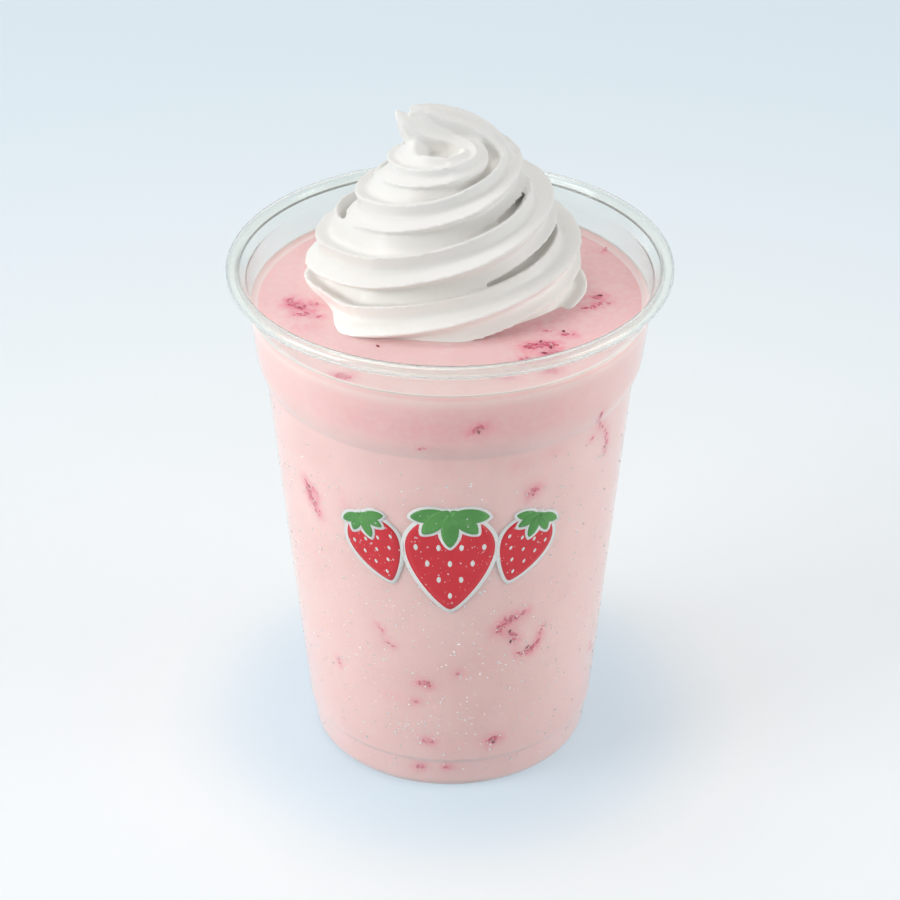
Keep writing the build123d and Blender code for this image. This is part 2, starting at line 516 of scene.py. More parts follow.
def rope_middle(turn):
    """Middle of the piped rope at a turn; it climbs fastest across the front."""
    angle = math.radians(FRONT_ANGLE) + 2.0 * math.pi * turn
    climb = at_turn(turn, TURN_CLIMB) * math.sin(2.0 * math.pi * (turn + CLIMB_LEAD))
    rise = at_turn(turn, TURN_RISE) + climb
    reach = float(np.interp(rise, REACH_HEIGHTS, REACH)) - at_turn(turn, TURN_RADIUS)
    reach += REACH_UNEVEN * noise.noise(Vector((turn * 2.3, 7.0, 3.0)))
    seen_from = (math.degrees(angle) + 90.0 + 180.0) % 360.0 - 180.0
    share = float(np.interp(seen_from, BASE_ANGLES, BASE_SHARE))
    reach *= 1.0 + (share - 1.0) * (1.0 - min(max(rise, 0.0) / BASE_FADE, 1.0) * BASE_FADED)
    lean = min(max(rise, 0.0) / LEAN_RISE, 1.0)
    return Vector((
        reach * math.cos(angle) + SWIRL_LEAN[0] * lean,
        reach * math.sin(angle) + SWIRL_LEAN[1] * lean,
        rise,
    ))


def through(knots, steps=14):
    """Smooth line of (middle, radius) through knots of x, y, z and radius."""
    line = []
    last = len(knots) - 1
    for index in range(last):
        spots = [Vector(knots[max(0, min(last, index + shift))]) for shift in (-1, 0, 1, 2)]
        a, b, c, d = spots
        slope, bow, twist = c - a, 2 * a - 5 * b + 4 * c - d, 3 * b - a - 3 * c + d
        for step in range(steps if index < last - 1 else steps + 1):
            t = step / steps
            spot = 0.5 * (2 * b + slope * t + bow * t * t + twist * t ** 3)
            line.append((Vector(spot[:3]), max(spot[3], 0.15)))
    return line


def star(angle, turn, depth):
    """Section of the rope: sharp ridges with round valleys, a little uneven."""
    phase = STAR_POINTS * (angle + STAR_TURN + STAR_TWIST * turn)
    ridge = abs(math.sin(0.5 * phase))
    uneven = noise.noise(Vector((turn * 5.0, 1.3 * math.cos(angle), 1.3 * math.sin(angle) + 20.0)))
    weak = WEAK_RIDGES * (0.5 - 0.5 * math.cos(0.5 * phase))
    return 1.0 + depth * (1.0 + RIDGES_UNEVEN * uneven) * (STAR_MIDDLE - ridge - weak) + SOFT_DENTS * uneven


def tube(path, sides, laid, depth_end):
    """Closed tube of star section along (middle, radius, turn); its first laid rings face outward."""
    points = []
    middles = [middle for middle, _, _ in path]
    outward = Vector((middles[0].x, middles[0].y, 0.0)).normalized()
    for index, (middle, radius, turn) in enumerate(path):
        ahead = middles[min(index + 1, len(path) - 1)] - middles[max(index - 1, 0)]
        ahead.normalize()
        if index < laid:
            outward = Vector((middle.x, middle.y, 0.0)).normalized()
        outward = (outward - ahead * outward.dot(ahead)).normalized()
        upward = outward.cross(ahead)
        if index < laid and upward.z < 0:
            upward = -upward
        for angle in full_turn(sides):
            size = radius * star(angle, turn, STAR_DEPTH if index < laid else depth_end)
            points.append(middle + outward * (size * math.cos(angle)) + upward * (size * math.sin(angle)))
    rings = len(path) - 1
    return points, band_faces(0, rings, sides) + end_faces(0, rings, sides)


def piped_rope(steps_per_turn=100):
    """The rope from its start under the surface, round three turns and along the curl."""
    first, last = -1.0, len(TURN_RISE) - 2.0
    count = int((last - first) * steps_per_turn)
    path = []
    for step in range(count):
        turn = first + (last - first) * step / count
        uneven = ROPE_UNEVEN * noise.noise(Vector((turn * 3.1, 1.0, 9.0)))
        uneven += ROPE_SWELL - SQUEEZE * math.cos(2.0 * math.pi * (turn - SQUEEZE_TURN))
        uneven -= PIT_DEPTH * math.exp(-((turn % 1.0 - PIT_TURN) / PIT_WIDTH) ** 2) * (turn > 0.0)
        radius = at_turn(turn, TURN_RADIUS) * (1.0 + uneven)
        path.append((rope_middle(turn), radius, turn))
    knots = [(*rope_middle(last), TURN_RADIUS[-1])] + list(CURL)
    path += [(middle, radius, last) for middle, radius in through(knots)]
    return tube(path, ROPE_SIDES, count, FLAP_DEPTH)


def strand(knots, sides, depth):
    """A piece of the swirl that isn't laid in turns, through its own knots."""
    return tube([(middle, radius, STRAND_TURN) for middle, radius in through(knots)], sides, 0, depth)


def cream_core():
    """Filling inside the turns, so that the swirl is one body."""
    points = []
    sides, layers = 48, 16
    for layer in range(layers + 1):
        height = CORE_TOP * layer / layers
        radius = max(float(np.interp(height, REACH_HEIGHTS, REACH)) - CORE_INSET, CORE_LEAST)
        for angle in full_turn(sides):
            points.append(Vector((radius * math.cos(angle), radius * math.sin(angle), height - CORE_SUNK)))
    return points, band_faces(0, layers, sides) + end_faces(0, layers, sides)


def drop_crumbs(body):
    """Deletes every loose part of a mesh but its largest one."""
    for vert in body.verts:
        vert.tag = False
    parts = []
    for seed in body.verts:
        if seed.tag:
            continue
        seed.tag = True
        part = [seed]
        for vert in part:
            for edge in vert.link_edges:
                other = edge.other_vert(vert)
                if not other.tag:
                    other.tag = True
                    part.append(other)
        parts.append(part)
    parts.sort(key=len)
    for part in parts[:-1]:
        bmesh.ops.delete(body, geom=part, context="VERTS")


def swirl_skin():
    """One skin over the rope, its strands and its core, made from small cubes and softened."""
    points, faces = [], []
    foot = Vector((-SWIRL_LEFT, SWIRL_BACK, LEVEL))
    bodies = [piped_rope()] + [strand(*values) for values in STRANDS] + [cream_core()]
    for body_points, body_faces in bodies:
        start = len(points)
        points += [point + foot for point in body_points]
        faces += [tuple(index + start for index in face) for face in body_faces]
    draft = new_object("cream_draft", mesh_from("cream_rough", points, faces))
    remesh = draft.modifiers.new("skin", "REMESH")
    remesh.mode = "VOXEL"
    remesh.voxel_size = CREAM_VOXEL * MM
    smooth = draft.modifiers.new("soften", "SMOOTH")
    smooth.factor = 0.5
    smooth.iterations = 2
    skin = bpy.data.meshes.new_from_object(draft.evaluated_get(bpy.context.evaluated_depsgraph_get()))
    bpy.data.objects.remove(draft)
    return skin


def make_swirl(material):
    """The skin, cut flat just under the level."""
    skin = swirl_skin()
    trim = bmesh.new()
    trim.from_mesh(skin)
    bmesh.ops.bisect_plane(
        trim,
        geom=trim.verts[:] + trim.edges[:] + trim.faces[:],
        plane_co=Vector((0.0, 0.0, (LEVEL - SWIRL_SUNK) * MM)),
        plane_no=Vector((0.0, 0.0, -1.0)),
        clear_outer=True,
    )
    rim = [edge for edge in trim.edges if edge.is_boundary]
    bmesh.ops.holes_fill(trim, edges=rim, sides=0)
    drop_crumbs(trim)
    trim.to_mesh(skin)
    trim.free()
    skin.name = "cream_swirl"
    skin.shade_smooth()
    piece = new_piece("cream_swirl", skin, "whipped_cream", material)
    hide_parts("swirl")


# ======== materials ========
def plain(name, colour, roughness):
    material = bpy.data.materials.new(name)
    material.use_nodes = True
    set_values(shader_of(material), {"Base Color": (*colour, 1.0), "Roughness": roughness})
    return material


def set_values(node, values):
    """Puts plain values on a node's inputs."""
    for name, value in values.items():
        node.inputs[name].default_value = value


def shader_of(material):
    return material.node_tree.nodes["Principled BSDF"]


def mixed(tree, share, colour, other):
    """Colour that goes from one to the other by a share; the other may be a plain colour."""
    blend = tree.nodes.new("ShaderNodeMix")
    blend.data_type = "RGBA"
    tree.links.new(share, blend.inputs["Factor"])
    tree.links.new(colour, blend.inputs["A"])
    if isinstance(other, tuple):
        blend.inputs["B"].default_value = (*other, 1.0)
    else:
        tree.links.new(other, blend.inputs["B"])
    return blend.outputs["Result"]


def calculated(tree, operation, one, other):
    """Result of a calculation on one socket and another socket or number."""
    node = tree.nodes.new("ShaderNodeMath")
    node.operation = operation
    tree.links.new(one, node.inputs[0])
    if isinstance(other, float):
        node.inputs[1].default_value = other
    else:
        tree.links.new(other, node.inputs[1])
    return node.outputs[0]


def surface_value(tree, name):
    """Value that the mesh keeps under a name."""
    kept = tree.nodes.new("ShaderNodeAttribute")
    kept.attribute_name = name
    return kept.outputs["Fac"]


def milky(material, weight, radius, depth):
    """Light goes a little way in, by colour, with the depth in metres."""
    values = {"Subsurface Weight": weight, "Subsurface Radius": radius, "Subsurface Scale": depth}
    set_values(shader_of(material), values)


def new_group(name, inputs, outputs):
    """Empty shader node group; inputs are (name, kind, value) and outputs (name, kind)."""
    group = bpy.data.node_groups.new(name, "ShaderNodeTree")
    for label, kind, value in inputs:
        socket = group.interface.new_socket(label, in_out="INPUT", socket_type=kind)
        socket.default_value = value
    for label, kind in outputs:
        group.interface.new_socket(label, in_out="OUTPUT", socket_type=kind)
    return group, group.nodes.new("NodeGroupInput"), group.nodes.new("NodeGroupOutput")


def mottle_group():
    """Soft cloudy change between two colours, with fine grain in it."""
    inputs = (
        ("Base", "NodeSocketColor", (0.8, 0.8, 0.8, 1.0)),
        ("Other", "NodeSocketColor", (0.7, 0.7, 0.7, 1.0)),
        ("Scale", "NodeSocketFloat", 60.0),
        ("Grain", "NodeSocketFloat", 900.0),
    )
    outputs = (("Color", "NodeSocketColor"), ("Mask", "NodeSocketFloat"), ("Height", "NodeSocketFloat"))
    group, given, result = new_group("mottle", inputs, outputs)
    place = group.nodes.new("ShaderNodeTexCoord")
    clouds = group.nodes.new("ShaderNodeTexNoise")
    set_values(clouds, {"Detail": 4.0, "Roughness": 0.6, "Distortion": 0.8})
    grain = group.nodes.new("ShaderNodeTexNoise")
    grain.inputs["Detail"].default_value = 3.0
    spread = group.nodes.new("ShaderNodeMapRange")
    set_values(spread, {"From Min": 0.32, "From Max": 0.68})
    link = group.links.new
    link(place.outputs["Object"], clouds.inputs["Vector"])
    link(place.outputs["Object"], grain.inputs["Vector"])
    link(given.outputs["Scale"], clouds.inputs["Scale"])
    link(given.outputs["Grain"], grain.inputs["Scale"])
    link(clouds.outputs["Fac"], spread.inputs["Value"])
    cloudy = mixed(group, spread.outputs["Result"], given.outputs["Base"], given.outputs["Other"])
    link(cloudy, result.inputs["Color"])
    link(spread.outputs["Result"], result.inputs["Mask"])
    link(grain.outputs["Fac"], result.inputs["Height"])
    return group


def finish(name, base, other, scale, grain, roughness, bump, mottle):
    """Material with the shared mottling on its colour, roughness and relief."""
    material = plain(name, base, roughness[0])
    tree = material.node_tree
    shader = shader_of(material)
    clouds = tree.nodes.new("ShaderNodeGroup")
    clouds.name = "mottle"
    clouds.node_tree = mottle
    set_values(clouds, {"Base": (*base, 1.0), "Other": (*other, 1.0), "Scale": scale, "Grain": grain})
    rough = tree.nodes.new("ShaderNodeMapRange")
    set_values(rough, {"To Min": roughness[0], "To Max": roughness[1]})
    relief = tree.nodes.new("ShaderNodeBump")
    set_values(relief, {"Strength": bump, "Distance": GRAIN_DEPTH})
    link = tree.links.new
    link(clouds.outputs["Color"], shader.inputs["Base Color"])
    link(clouds.outputs["Mask"], rough.inputs["Value"])
    link(rough.outputs["Result"], shader.inputs["Roughness"])
    link(clouds.outputs["Height"], relief.inputs["Height"])
    link(relief.outputs["Normal"], shader.inputs["Normal"])
    return material


def let_light_through(material, colour):
    """Lamps shine through the clear material instead of leaving a hard shadow."""
    tree = material.node_tree
    path = tree.nodes.new("ShaderNodeLightPath")
    through = tree.nodes.new("ShaderNodeBsdfTransparent")
    through.inputs["Color"].default_value = (*colour, 1.0)
    mix = tree.nodes.new("ShaderNodeMixShader")
    link = tree.links.new
    link(path.outputs["Is Shadow Ray"], mix.inputs[0])
    link(shader_of(material).outputs[0], mix.inputs[1])
    link(through.outputs[0], mix.inputs[2])
    link(mix.outputs[0], tree.nodes["Material Output"].inputs["Surface"])
    return material


def clear_plastic(mottle):
    colours = (0.96, 0.975, 0.95), (0.94, 0.96, 0.93)
    material = finish("clear_plastic", *colours, 30.0, 160.0, (0.10, 0.18), 0.02, mottle)
    set_values(shader_of(material), {"IOR": 1.5, "Transmission Weight": 0.955})
    return let_light_through(material, (0.97, 0.98, 0.975))


def water(mottle):
    colours = (0.97, 0.985, 0.99), (0.93, 0.95, 0.96)
    material = finish("dew", *colours, 400.0, 900.0, (0.22, 0.32), 0.05, mottle)
    set_values(shader_of(material), {"IOR": 1.33, "Transmission Weight": 0.55})
    return let_light_through(material, (0.96, 0.97, 0.97))


def shake_material(mottle):
    """Milky pink with the stains of its fruit and painted shade on the level, a painted highlight and shade
    line at the level, and painted sheen at the edges.
    """
    colours = (0.835, 0.55, 0.535), (0.795, 0.485, 0.47)
    material = finish("strawberry_shake", *colours, 45.0, 700.0, (0.30, 0.42), 0.25, mottle)
    milky(material, 0.35, (1.0, 0.35, 0.30), 0.003)
    set_values(shader_of(material), {"Sheen Weight": 1.0, "Sheen Roughness": 0.45})
    tree = material.node_tree
    place = tree.nodes.new("ShaderNodeTexCoord")
    torn = tree.nodes.new("ShaderNodeTexNoise")
    set_values(torn, {"Scale": 650.0, "Detail": 4.0})
    edge = tree.nodes.new("ShaderNodeMapRange")
    set_values(edge, {"From Min": 0.34, "From Max": 0.62, "To Min": 0.35})
    tree.links.new(place.outputs["Object"], torn.inputs["Vector"])
    tree.links.new(torn.outputs["Fac"], edge.inputs["Value"])
    # this value holds the fruit's stains, the neck's pink and the painted shade on the level
    share = calculated(tree, "MULTIPLY", edge.outputs["Result"], surface_value(tree, "stain_and_shade"))
    stained_and_shaded = mixed(tree, share, tree.nodes["mottle"].outputs["Color"], (0.80, 0.17, 0.25))
    # painted highlight and painted shade line at the level
    banded = level_glint_and_shade_line(tree, place, stained_and_shaded)
    tree.links.new(painted_sheen_edges(tree, banded), shader_of(material).inputs["Base Color"])
    return material


def painted_sheen_edges(tree, colour):
    """Painted sheen: the pink turns pale where the wall turns away, standing in for the whitish reflection at
    the cup's edges, partly the haze of the dew.
    """
    facing = tree.nodes.new("ShaderNodeLayerWeight")
    turned_away = calculated(tree, "POWER", facing.outputs["Facing"], 1.1)
    share = calculated(tree, "MULTIPLY", turned_away, surface_value(tree, "behind_wall"))
    # painted sheen: a pale colour mixed in by how far the wall turns away
    return mixed(tree, share, colour, (0.93, 0.915, 0.90))


def level_glint_and_shade_line(tree, place, colour):
    """Painted highlight as a pale band just under the level, and painted shade as a thin grey-green line
    where the shake meets the wall.
    """
    pale, dark = (0.86, 0.74, 0.70), (0.40, 0.39, 0.34)
    apart = tree.nodes.new("ShaderNodeSeparateXYZ")
    height = tree.nodes.new("ShaderNodeMapRange")
    set_values(height, {"From Min": (LEVEL - 3.0) * MM, "From Max": (LEVEL + 1.0) * MM})
    bands = tree.nodes.new("ShaderNodeValToRGB")
    stops = bands.color_ramp.elements
    stops[0].color = (*pale, 0.0)
    stops[1].color = (*dark, 0.8)
    for stop, tint, share in ((0.52, pale, 0.5), (0.70, pale, 0.0), (0.88, dark, 0.0), (0.94, dark, 0.8)):
        stops.new(stop).color = (*tint, share)
    tree.links.new(place.outputs["Object"], apart.inputs[0])
    tree.links.new(apart.outputs["Z"], height.inputs["Value"])
    tree.links.new(height.outputs["Result"], bands.inputs["Fac"])
    return mixed(tree, bands.outputs["Alpha"], colour, bands.outputs["Color"])


def fruit_material(mottle):
    """Ripe red, paler where a flake's own value says so."""
    colours = (0.66, 0.02, 0.062), (0.82, 0.09, 0.155)
    material = finish("strawberry", *colours, 900.0, 2400.0, (0.22, 0.4), 0.4, mottle)
    milky(material, 0.3, (1.0, 0.25, 0.25), 0.0015)
    tree = material.node_tree
    red = tree.nodes["mottle"].outputs["Color"]
    pale = mixed(tree, surface_value(tree, "paleness"), red, (0.84, 0.28, 0.36))
    tree.links.new(pale, shader_of(material).inputs["Base Color"])
    return material


def cream_material(mottle):
    colours = (0.875, 0.86, 0.825), (0.855, 0.835, 0.795)
    material = finish("whipped_cream", *colours, 70.0, 1500.0, (0.36, 0.5), 0.22, mottle)
    milky(material, 0.06, (1.0, 0.9, 0.75), 0.0012)
    return material


# ======== cup and shake ========
def make_cup(material):
    """The sheet's two sides as one closed surface, rolled outward at the lip."""
    food = sheet_side(WALL, ROLL_RADIUS)
    outer = sheet_side(0.0, ROLL_RADIUS - WALL)
    mesh = lathe("clear_cup", with_rings(outer + food[::-1], CUP_SPACING), CUP_SIDES)
    piece = new_piece("clear_cup", mesh, "clear_plastic", material)
    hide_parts("cup")


def make_shake(material):
    """The shake up to its level, with a low edge that climbs the wall."""
    reach = WALL * 0.5
    corners = [(0.0, reach)] + [(r - reach, max(z, reach)) for r, z in outside_points()[1:-1]]
    top = wall_radius(LEVEL) - reach
    edge = [(top - inward, LEVEL + rise) for inward, rise in EDGE_CLIMB]
    outline = rounded(corners + edge[:1], rounding(reach)) + edge[1:] + [(0.0, LEVEL)]
    mesh = lathe("shake", with_rings(outline, SHAKE_SPACING), SHAKE_SIDES)
    stains_and_shade(mesh)
    piece = new_piece("shake", mesh, "strawberry_shake", material)
    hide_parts("milkshake")


# ======== strawberry in the shake ========
def on_wall(angle, height, lift):
    """Point at an angle from the front, lifted from the cup's outside wall."""
    turn = math.radians(angle)
    radius = wall_radius(height) + lift
    return Vector((radius * math.sin(turn), -radius * math.cos(turn), height))


def all_wall_fruit():
    """The fruit seen at the front, and more scattered round the sides and the back."""
    draw = random.Random(11)
    fruit = list(WALL_FRUIT)
    for _ in range(BACK_FRUIT):
        fruit.append(tuple(draw.uniform(low, high) for low, high in BACK_FRUIT_RANGES))
    return fruit


def all_marks():
    """Every mark of fruit, with whether it lies on the level."""
    return [(fruit, False) for fruit in all_wall_fruit()] + [(fruit, True) for fruit in TOP_FRUIT]


def stains_and_shade(mesh):
    """Keeps soft pink round every piece of fruit, the neck's pink and the level's painted shade, and where
    the wall is, as values on the surface.
    """
    count = len(mesh.vertices)
    spots = np.empty(count * 3)
    mesh.vertices.foreach_get("co", spots)
    x, y, z = spots.reshape(-1, 3).T / MM
    radius = np.hypot(x, y)
    angle = np.degrees(np.arctan2(x, -y))
    on_top = (z > LEVEL - 0.01) & (radius < wall_radius(LEVEL) - EDGE_CLIMB[-1][0])
    stain_and_shade = np.zeros(count)
    for (around, high, length, width, tilt, bend, strength), lies in all_marks():
        if lies:
            across, up, where = x - around, y - high, on_top
        else:
            across = np.radians((angle - around + 180.0) % 360.0 - 180.0) * radius
            up, where = z - high, ~on_top
        turn = math.radians(tilt)
        along_it = across * math.cos(turn) + up * math.sin(turn)
        aside = -across * math.sin(turn) + up * math.cos(turn)
        share = np.clip(along_it / length, -0.5, 0.5)
        aside = aside - bend * (1.0 - 4.0 * share ** 2)
        past = np.maximum(np.abs(along_it) - 0.4 * length, 0.0)
        away = np.hypot(past, aside) / (STAIN_SOFT * width + STAIN_SOFT)
        stain_and_shade += np.where(where, STAIN_STRENGTH * strength * np.exp(-away ** 2), 0.0)
    # pink on the neck; on the level pink with painted shade and painted contact shadow
    stain_and_shade += np.where(on_top, level_blush_and_shade(x, y), neck_blush(angle, z))
    values = {"stain_and_shade": np.clip(stain_and_shade, 0.0, 1.0), "behind_wall": np.where(on_top, 0.0, 1.0)}
    for name, value in values.items():
        layer = mesh.attributes.new(name, "FLOAT", "POINT")
        layer.data.foreach_set("value", value.astype(np.float32))


def neck_blush(angle, height):
    """Deeper pink on the front of the neck."""
    round_it = np.exp(-(angle / NECK_HALF_ANGLE) ** 2)
    return NECK_STRENGTH * np.exp(-((height - NECK_BLUSH) / NECK_HALF_HEIGHT) ** 2) * round_it


def level_blush_and_shade(x, y):
    """Pink over the level, with painted shade deepening it towards both sides, and the cream's painted
    contact shadow with what has melted out at the swirl's foot.
    """
    # painted shade: deeper towards both sides, on the right as the cream's shadow
    right = TOP_SHADE_RIGHT * np.clip(x / TOP_SHADE_REACH, 0.0, 1.0)
    left = TOP_SHADE_LEFT * np.clip(-x / TOP_SHADE_REACH, 0.0, 1.0)
    from_axis = np.hypot(x + SWIRL_LEFT, y - SWIRL_BACK)
    seen_from = np.degrees(np.arctan2(x + SWIRL_LEFT, SWIRL_BACK - y))
    edge = REACH[0] * np.interp(seen_from, BASE_ANGLES, BASE_SHARE)
    # painted contact shadow of the cream, together with the pink that has melted out
    window = np.exp(-((seen_from - MELT_SHADOW_ANGLE) / MELT_SHADOW_SPREAD) ** 2)
    melt_and_shadow = MELT_SHADOW_STRENGTH * window * np.exp(-((from_axis - edge) / MELT_SHADOW_WIDTH) ** 2)
    return TOP_BLUSH + right + left + melt_and_shadow


def flake(place, radius, thick, paleness, draw, points, faces, pale, sides=9):
    """Ragged low dome; place(across, up, lift) puts it on the wall or on the level."""
    start = len(points)
    ragged = [radius * draw.uniform(0.55, 1.25) for _ in range(sides)]
    own_paleness = min(1.0, 0.6 * draw.random() + paleness)
    rings = ((1.0, -thick), (1.0, 0.0), (0.6, 0.75 * thick))
    for size, lift in rings:
        for out, turn in zip(ragged, full_turn(sides)):
            points.append(place(size * out * math.cos(turn), size * out * math.sin(turn), lift))
    points.append(place(0.0, 0.0, thick))
    points.append(place(0.0, 0.0, -thick))
    pale += [own_paleness] * (len(points) - start)
    last = len(rings) - 1
    faces += band_faces(start, last, sides)
    faces += fan_faces(start + last * sides, sides, len(points) - 2)
    faces += fan_faces(start, sides, len(points) - 1, under=True)


def scatter_fruit():
    """Ragged flakes along every mark but the weakest, on the level and within the wall."""
    draw = random.Random(5)
    points, faces, pale = [], [], []
    for (around, high, length, width, tilt, bend, strength), lies in all_marks():
        if strength < WEAKEST_FLAKES:
            continue
        turn = math.radians(tilt)
        for _ in range(FLAKES_PER_MARK + int(length * width * FLAKES_PER_AREA * strength)):
            share = draw.uniform(-0.5, 0.5)
            spread = width * math.sqrt(max(0.0, 1.0 - 4.0 * share ** 2)) * 0.62
            along_it = share * length
            aside = bend * (1.0 - 4.0 * share ** 2) + draw.uniform(-spread, spread)
            across = along_it * math.cos(turn) - aside * math.sin(turn)
            up = along_it * math.sin(turn) + aside * math.cos(turn)
            radius = draw.uniform(*FLAKE_RADIUS) * (0.7 + 0.5 * strength) * (1.2 if lies else 1.0)
            if lies:
                def place(dx, dy, lift, across=across, up=up):
                    return Vector((around + across + dx, high + up + dy, LEVEL + lift))
            else:
                def place(dx, dy, lift, across=across, up=up):
                    height = high + up + dy
                    turned = around + math.degrees((across + dx) / wall_radius(height))
                    return on_wall(turned, height, lift - WALL * 0.5)
            thick = FLAKE_ON_TOP if lies else FLAKE_ON_WALL
            flake(place, radius, thick, 0.9 * (1.0 - strength), draw, points, faces, pale)
    return points, faces, pale


def make_fruit(material):
    """All flakes as one piece, each with its own paleness."""
    points, faces, pale = scatter_fruit()
    mesh = mesh_from("strawberry_bits", points, faces)
    layer = mesh.attributes.new("paleness", "FLOAT", "POINT")
    layer.data.foreach_set("value", np.array(pale, dtype=np.float32))
    new_piece("strawberry_bits", mesh, "strawberry", material)


def make_seeds(material):
    """Small pointed seeds, on the level and within the wall."""
    draw = random.Random(3)
    points, faces = [], []
    spots = [(*spot, False) for spot in SEEDS_ON_WALL] + [(*spot, True) for spot in SEEDS_ON_TOP]
    for _ in range(BACK_SEEDS):
        spots.append((draw.uniform(80.0, 280.0), draw.uniform(10.0, 104.0), False))
    sides, rings = 8, 6
    for around, high, lies in spots:
        turn = draw.uniform(0.0, math.pi)
        length, width = draw.uniform(*SEED_LENGTH), draw.uniform(*SEED_WIDTH)
        thickness = SEED_ON_TOP if lies else SEED_ON_WALL
        start = len(points)
        for ring in range(rings + 1):
            share = ring / rings
            thick = math.sin(math.pi * min(share + 0.02, 0.98)) ** 0.8 * (1.15 - 0.5 * share)
            for roll in full_turn(sides):
                lengthwise = (share - 0.5) * 2.0 * length
                sideways = width * thick * math.cos(roll)
                dx = lengthwise * math.cos(turn) - sideways * math.sin(turn)
                dy = lengthwise * math.sin(turn) + sideways * math.cos(turn)
                lift = thickness * thick * math.sin(roll)
                if lies:
                    points.append(Vector((around + dx, high + dy, LEVEL + lift + 0.06)))
                else:
                    turned = around + math.degrees(dx / wall_radius(high))
                    points.append(on_wall(turned, high + dy, lift - WALL * 0.5))
        faces += band_faces(start, rings, sides) + end_faces(start, rings, sides)
    mesh = mesh_from("strawberry_seeds", points, faces)
    new_piece("strawberry_seeds", mesh, "strawberry_seed", material)


# ======== print on the front ========
def berry_outline(width, height, grow=0.0, steps=72):
    """Strawberry outline round its middle: a blunt point below and round shoulders above."""
    outline = []
    for turn in full_turn(steps):
        up = math.cos(turn)
        share = (up + 1.0) / 2.0
        half = 0.5 * width * 1.12 * (0.08 + share) ** 0.55 * (1.0 - 0.55 * share ** 5)
        across = -half * math.sin(turn) / max(math.sqrt(1.0 - 0.25 * up ** 2), 0.1)
        spot = Vector((across, 0.5 * height * up))
        outline.append(spot + spot.normalized() * grow)
    return outline


def leaf_outline(length, width, grow=0.0, steps=20):
    """Leaf or seed outline round its middle, pointed at both ends."""
    outline = []
    for turn in full_turn(steps):
        along_it = 0.5 * length * math.cos(turn)
        aside = 0.5 * width * math.sin(turn) * abs(math.sin(turn)) ** 0.35
        spot = Vector((along_it, aside))
        outline.append(spot + spot.normalized() * grow)
    return outline


def film(outline, middle, tilt, lift, points, faces, rings=7):
    """Thin closed film that follows the wall; its outline lies round its own middle."""
    turn = math.radians(tilt)
    start, sides = len(points), len(outline)

    def put(spot, high):
        across = middle[0] + spot.x * math.cos(turn) - spot.y * math.sin(turn)
        height = PRINT_HEIGHT + middle[1] + spot.x * math.sin(turn) + spot.y * math.cos(turn)
        points.append(on_wall(math.degrees(across / wall_radius(PRINT_HEIGHT)), height, high))

    for spot in outline:
        put(spot, FILM_SUNK)
    for ring in range(rings):
        for spot in outline:
            put(spot * (1.0 - ring / rings), lift)
    centre = Vector((0.0, 0.0))
    put(centre, lift)
    put(centre, FILM_SUNK)
    faces += band_faces(start, rings, sides)
    faces += fan_faces(start + rings * sides, sides, len(points) - 2)
    faces += fan_faces(start, sides, len(points) - 1, under=True)


def moved(middle, tilt, across, up):
    """A place given in a tilted berry's own directions."""
    turn = math.radians(tilt)
    return (
        middle[0] + across * math.cos(turn) - up * math.sin(turn),
        middle[1] + across * math.sin(turn) + up * math.cos(turn),
    )


def print_seeds(middle, width, height, tilt, out, layer):
    """Rows of small white seeds on a printed strawberry."""
    outline = leaf_outline(width * 0.075, width * 0.042, 0.0, 12)
    for row, seeds in enumerate(SEED_ROWS):
        for seed in range(seeds):
            aside = (seed - (seeds - 1) / 2) * width * 0.215
            high = (-0.36 + 0.165 * row) * height - 0.018 * abs(aside) * (row - 1)
            place = moved(middle, tilt, aside, high)
            film(outline, place, tilt + 90.0, SEEDS_OUT + out, *layer, rings=2)


def print_leaves(middle, width, height, tilt, out, white, green):
    """Green leaves that spread from the top of a printed strawberry, each with its own keyline."""
    for leaf in range(LEAVES):
        spoke = leaf - (LEAVES - 1) // 2
        lean = spoke * LEAF_SPREAD
        length, broad = width * (0.40 - 0.02 * abs(spoke)), width * 0.17
        turn = math.radians(lean)
        sunk = 0.30 * length * math.cos(turn) * (1.0 if spoke else 1.5)
        place = moved(middle, tilt, 0.53 * length * math.sin(turn), 0.46 * height - sunk)
        angle = tilt + 90.0 + lean
        film(leaf_outline(length, broad, LEAF_KEYLINE), place, angle, LEAF_EDGE_OUT + out, *white, rings=3)
        leaf_out = LEAF_OUT + out + NEXT_LEAF_OUT * leaf
        film(leaf_outline(length, broad), place, angle, leaf_out, *green, rings=3)


def make_print(red, white, leaf):
    """Three plain strawberries with a white keyline, white seeds and green leaves."""
    layers = {"print_white": ([], []), "print_red": ([], []), "print_leaf": ([], [])}
    for across, up, width, height, tilt in PRINT_FRUIT:
        middle = (across, up)
        out = MIDDLE_FRUIT_OUT if across == 0.0 else 0.0
        film(berry_outline(width, height, KEYLINE), middle, tilt, WHITE_OUT + out, *layers["print_white"])
        film(berry_outline(width, height), middle, tilt, RED_OUT + out, *layers["print_red"])
        print_seeds(middle, width, height, tilt, out, layers["print_white"])
        print_leaves(middle, width, height, tilt, out, layers["print_white"], layers["print_leaf"])
    for (name, (points, faces)), material in zip(layers.items(), (white, red, leaf)):
        new_piece(name, mesh_from(name, points, faces), name, material)


# ======== dew ========
def make_dew(material):
    """Low round drops on the outside of the wall, closer together on the front and low down."""
    draw = random.Random(29)
    points, faces = [], []
    made = 0
    while made < DEW_DROPS:
        angle, height = draw.uniform(-180.0, 180.0), draw.uniform(*DEW_HEIGHTS)
        if abs(height - FOOT_HEIGHT - LEDGE_RISE) < DEW_OFF_LEDGE:
            continue
        crowd = 0.25 + 0.75 * math.exp(-((angle / DEW_FRONT) ** 2)) * (1.0 if height < DEW_SHOULDER else 0.3)
        if draw.random() > crowd:
            continue
        made += 1
        size = DEW_RADIUS[0] + DEW_RADIUS[1] * draw.random() ** 3
        dew_drop(angle, height, size, points, faces)
    new_piece("dew", mesh_from("dew", points, faces), "dew", material)


